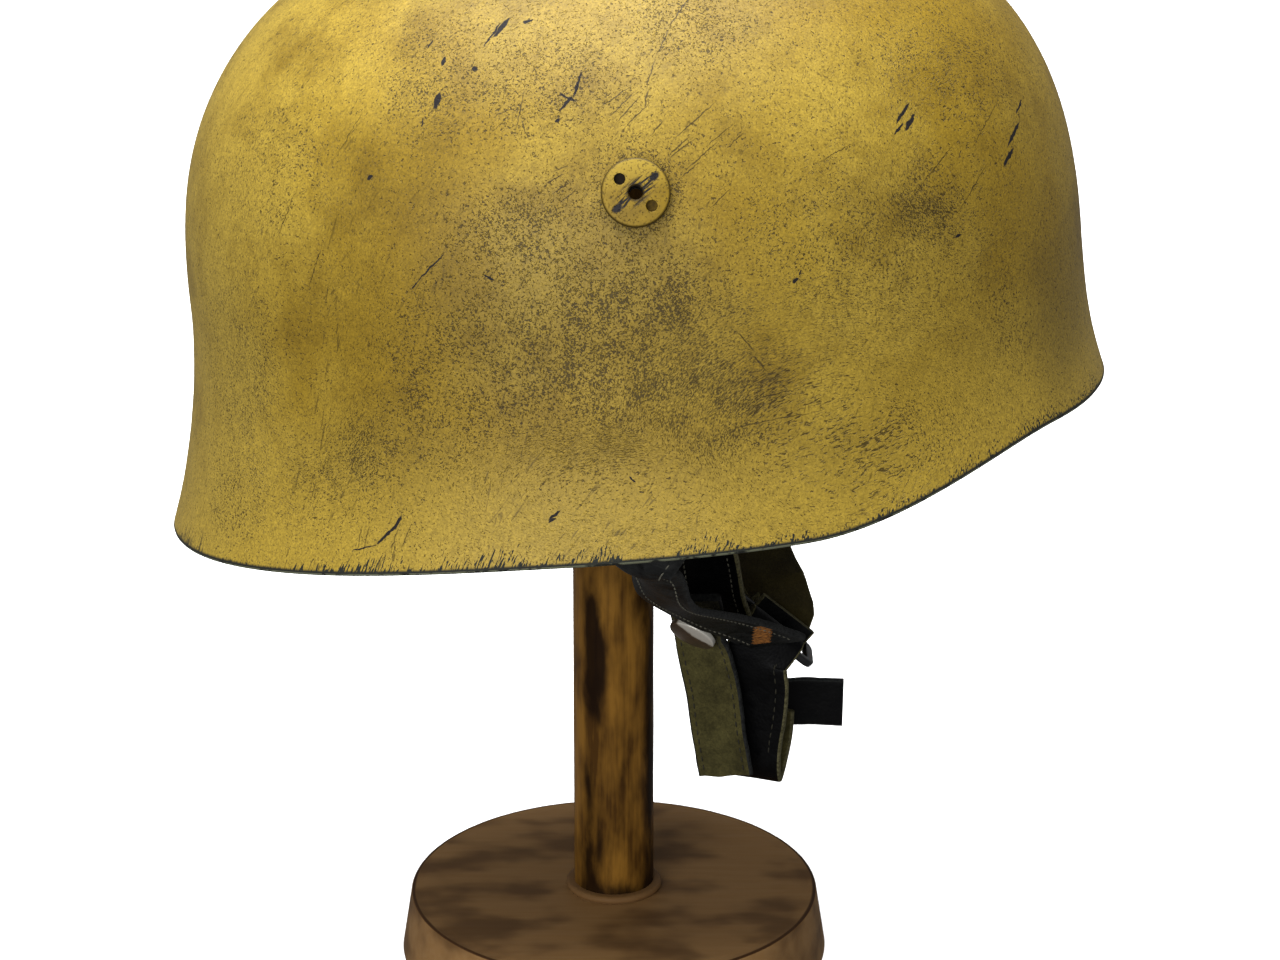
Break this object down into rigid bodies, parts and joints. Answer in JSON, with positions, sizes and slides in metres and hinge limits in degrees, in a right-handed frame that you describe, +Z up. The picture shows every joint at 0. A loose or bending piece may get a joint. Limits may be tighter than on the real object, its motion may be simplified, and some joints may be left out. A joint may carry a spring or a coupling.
{
  "type": "paratrooper helmet on a wooden stand",
  "caption": "Steel paratrooper helmet in worn ochre paint, bolts in its sides, leather chin straps hanging open below, resting on a plain round wooden stand.",
  "frame": {"origin": "centre of the stand's underside, on the table", "axes": "+X towards the helmet's front, +Y towards the wearer's left, +Z up"},
  "size_m": [0.2728, 0.2382, 0.3306],
  "materials": {
    "shell_paint": "worn matt ochre paint over steel, scuffed dark, rim worn to metal",
    "bolt_paint": "worn ochre paint, rubbed dark round the holes",
    "nut_steel": "plain dull steel",
    "strap_leather": "black grain leather outside, olive suede inside",
    "strap_suede": "olive suede side out",
    "buckle_enamel": "black lacquered steel, edges rubbed",
    "stud_metal": "bright nickel",
    "post_wood": "scorched and varnished softwood",
    "base_wood": "dull brown stained wood, smudged"
  },
  "bodies": {
    "root": {"shell": "shell_paint", "bolt_left": "bolt_paint", "bolt_right": "bolt_paint", "nut_left": "nut_steel", "nut_right": "nut_steel", "strap_right_rear": "strap_leather", "strap_right_front": "strap_leather", "strap_left": "strap_leather", "strap_stud_end": "strap_suede", "strap_loop": "strap_leather", "strap_tab": "strap_leather", "buckle": "buckle_enamel", "stud": "stud_metal", "stand_post": "post_wood", "stand_base": "base_wood"}
  },
  "joints": []
}
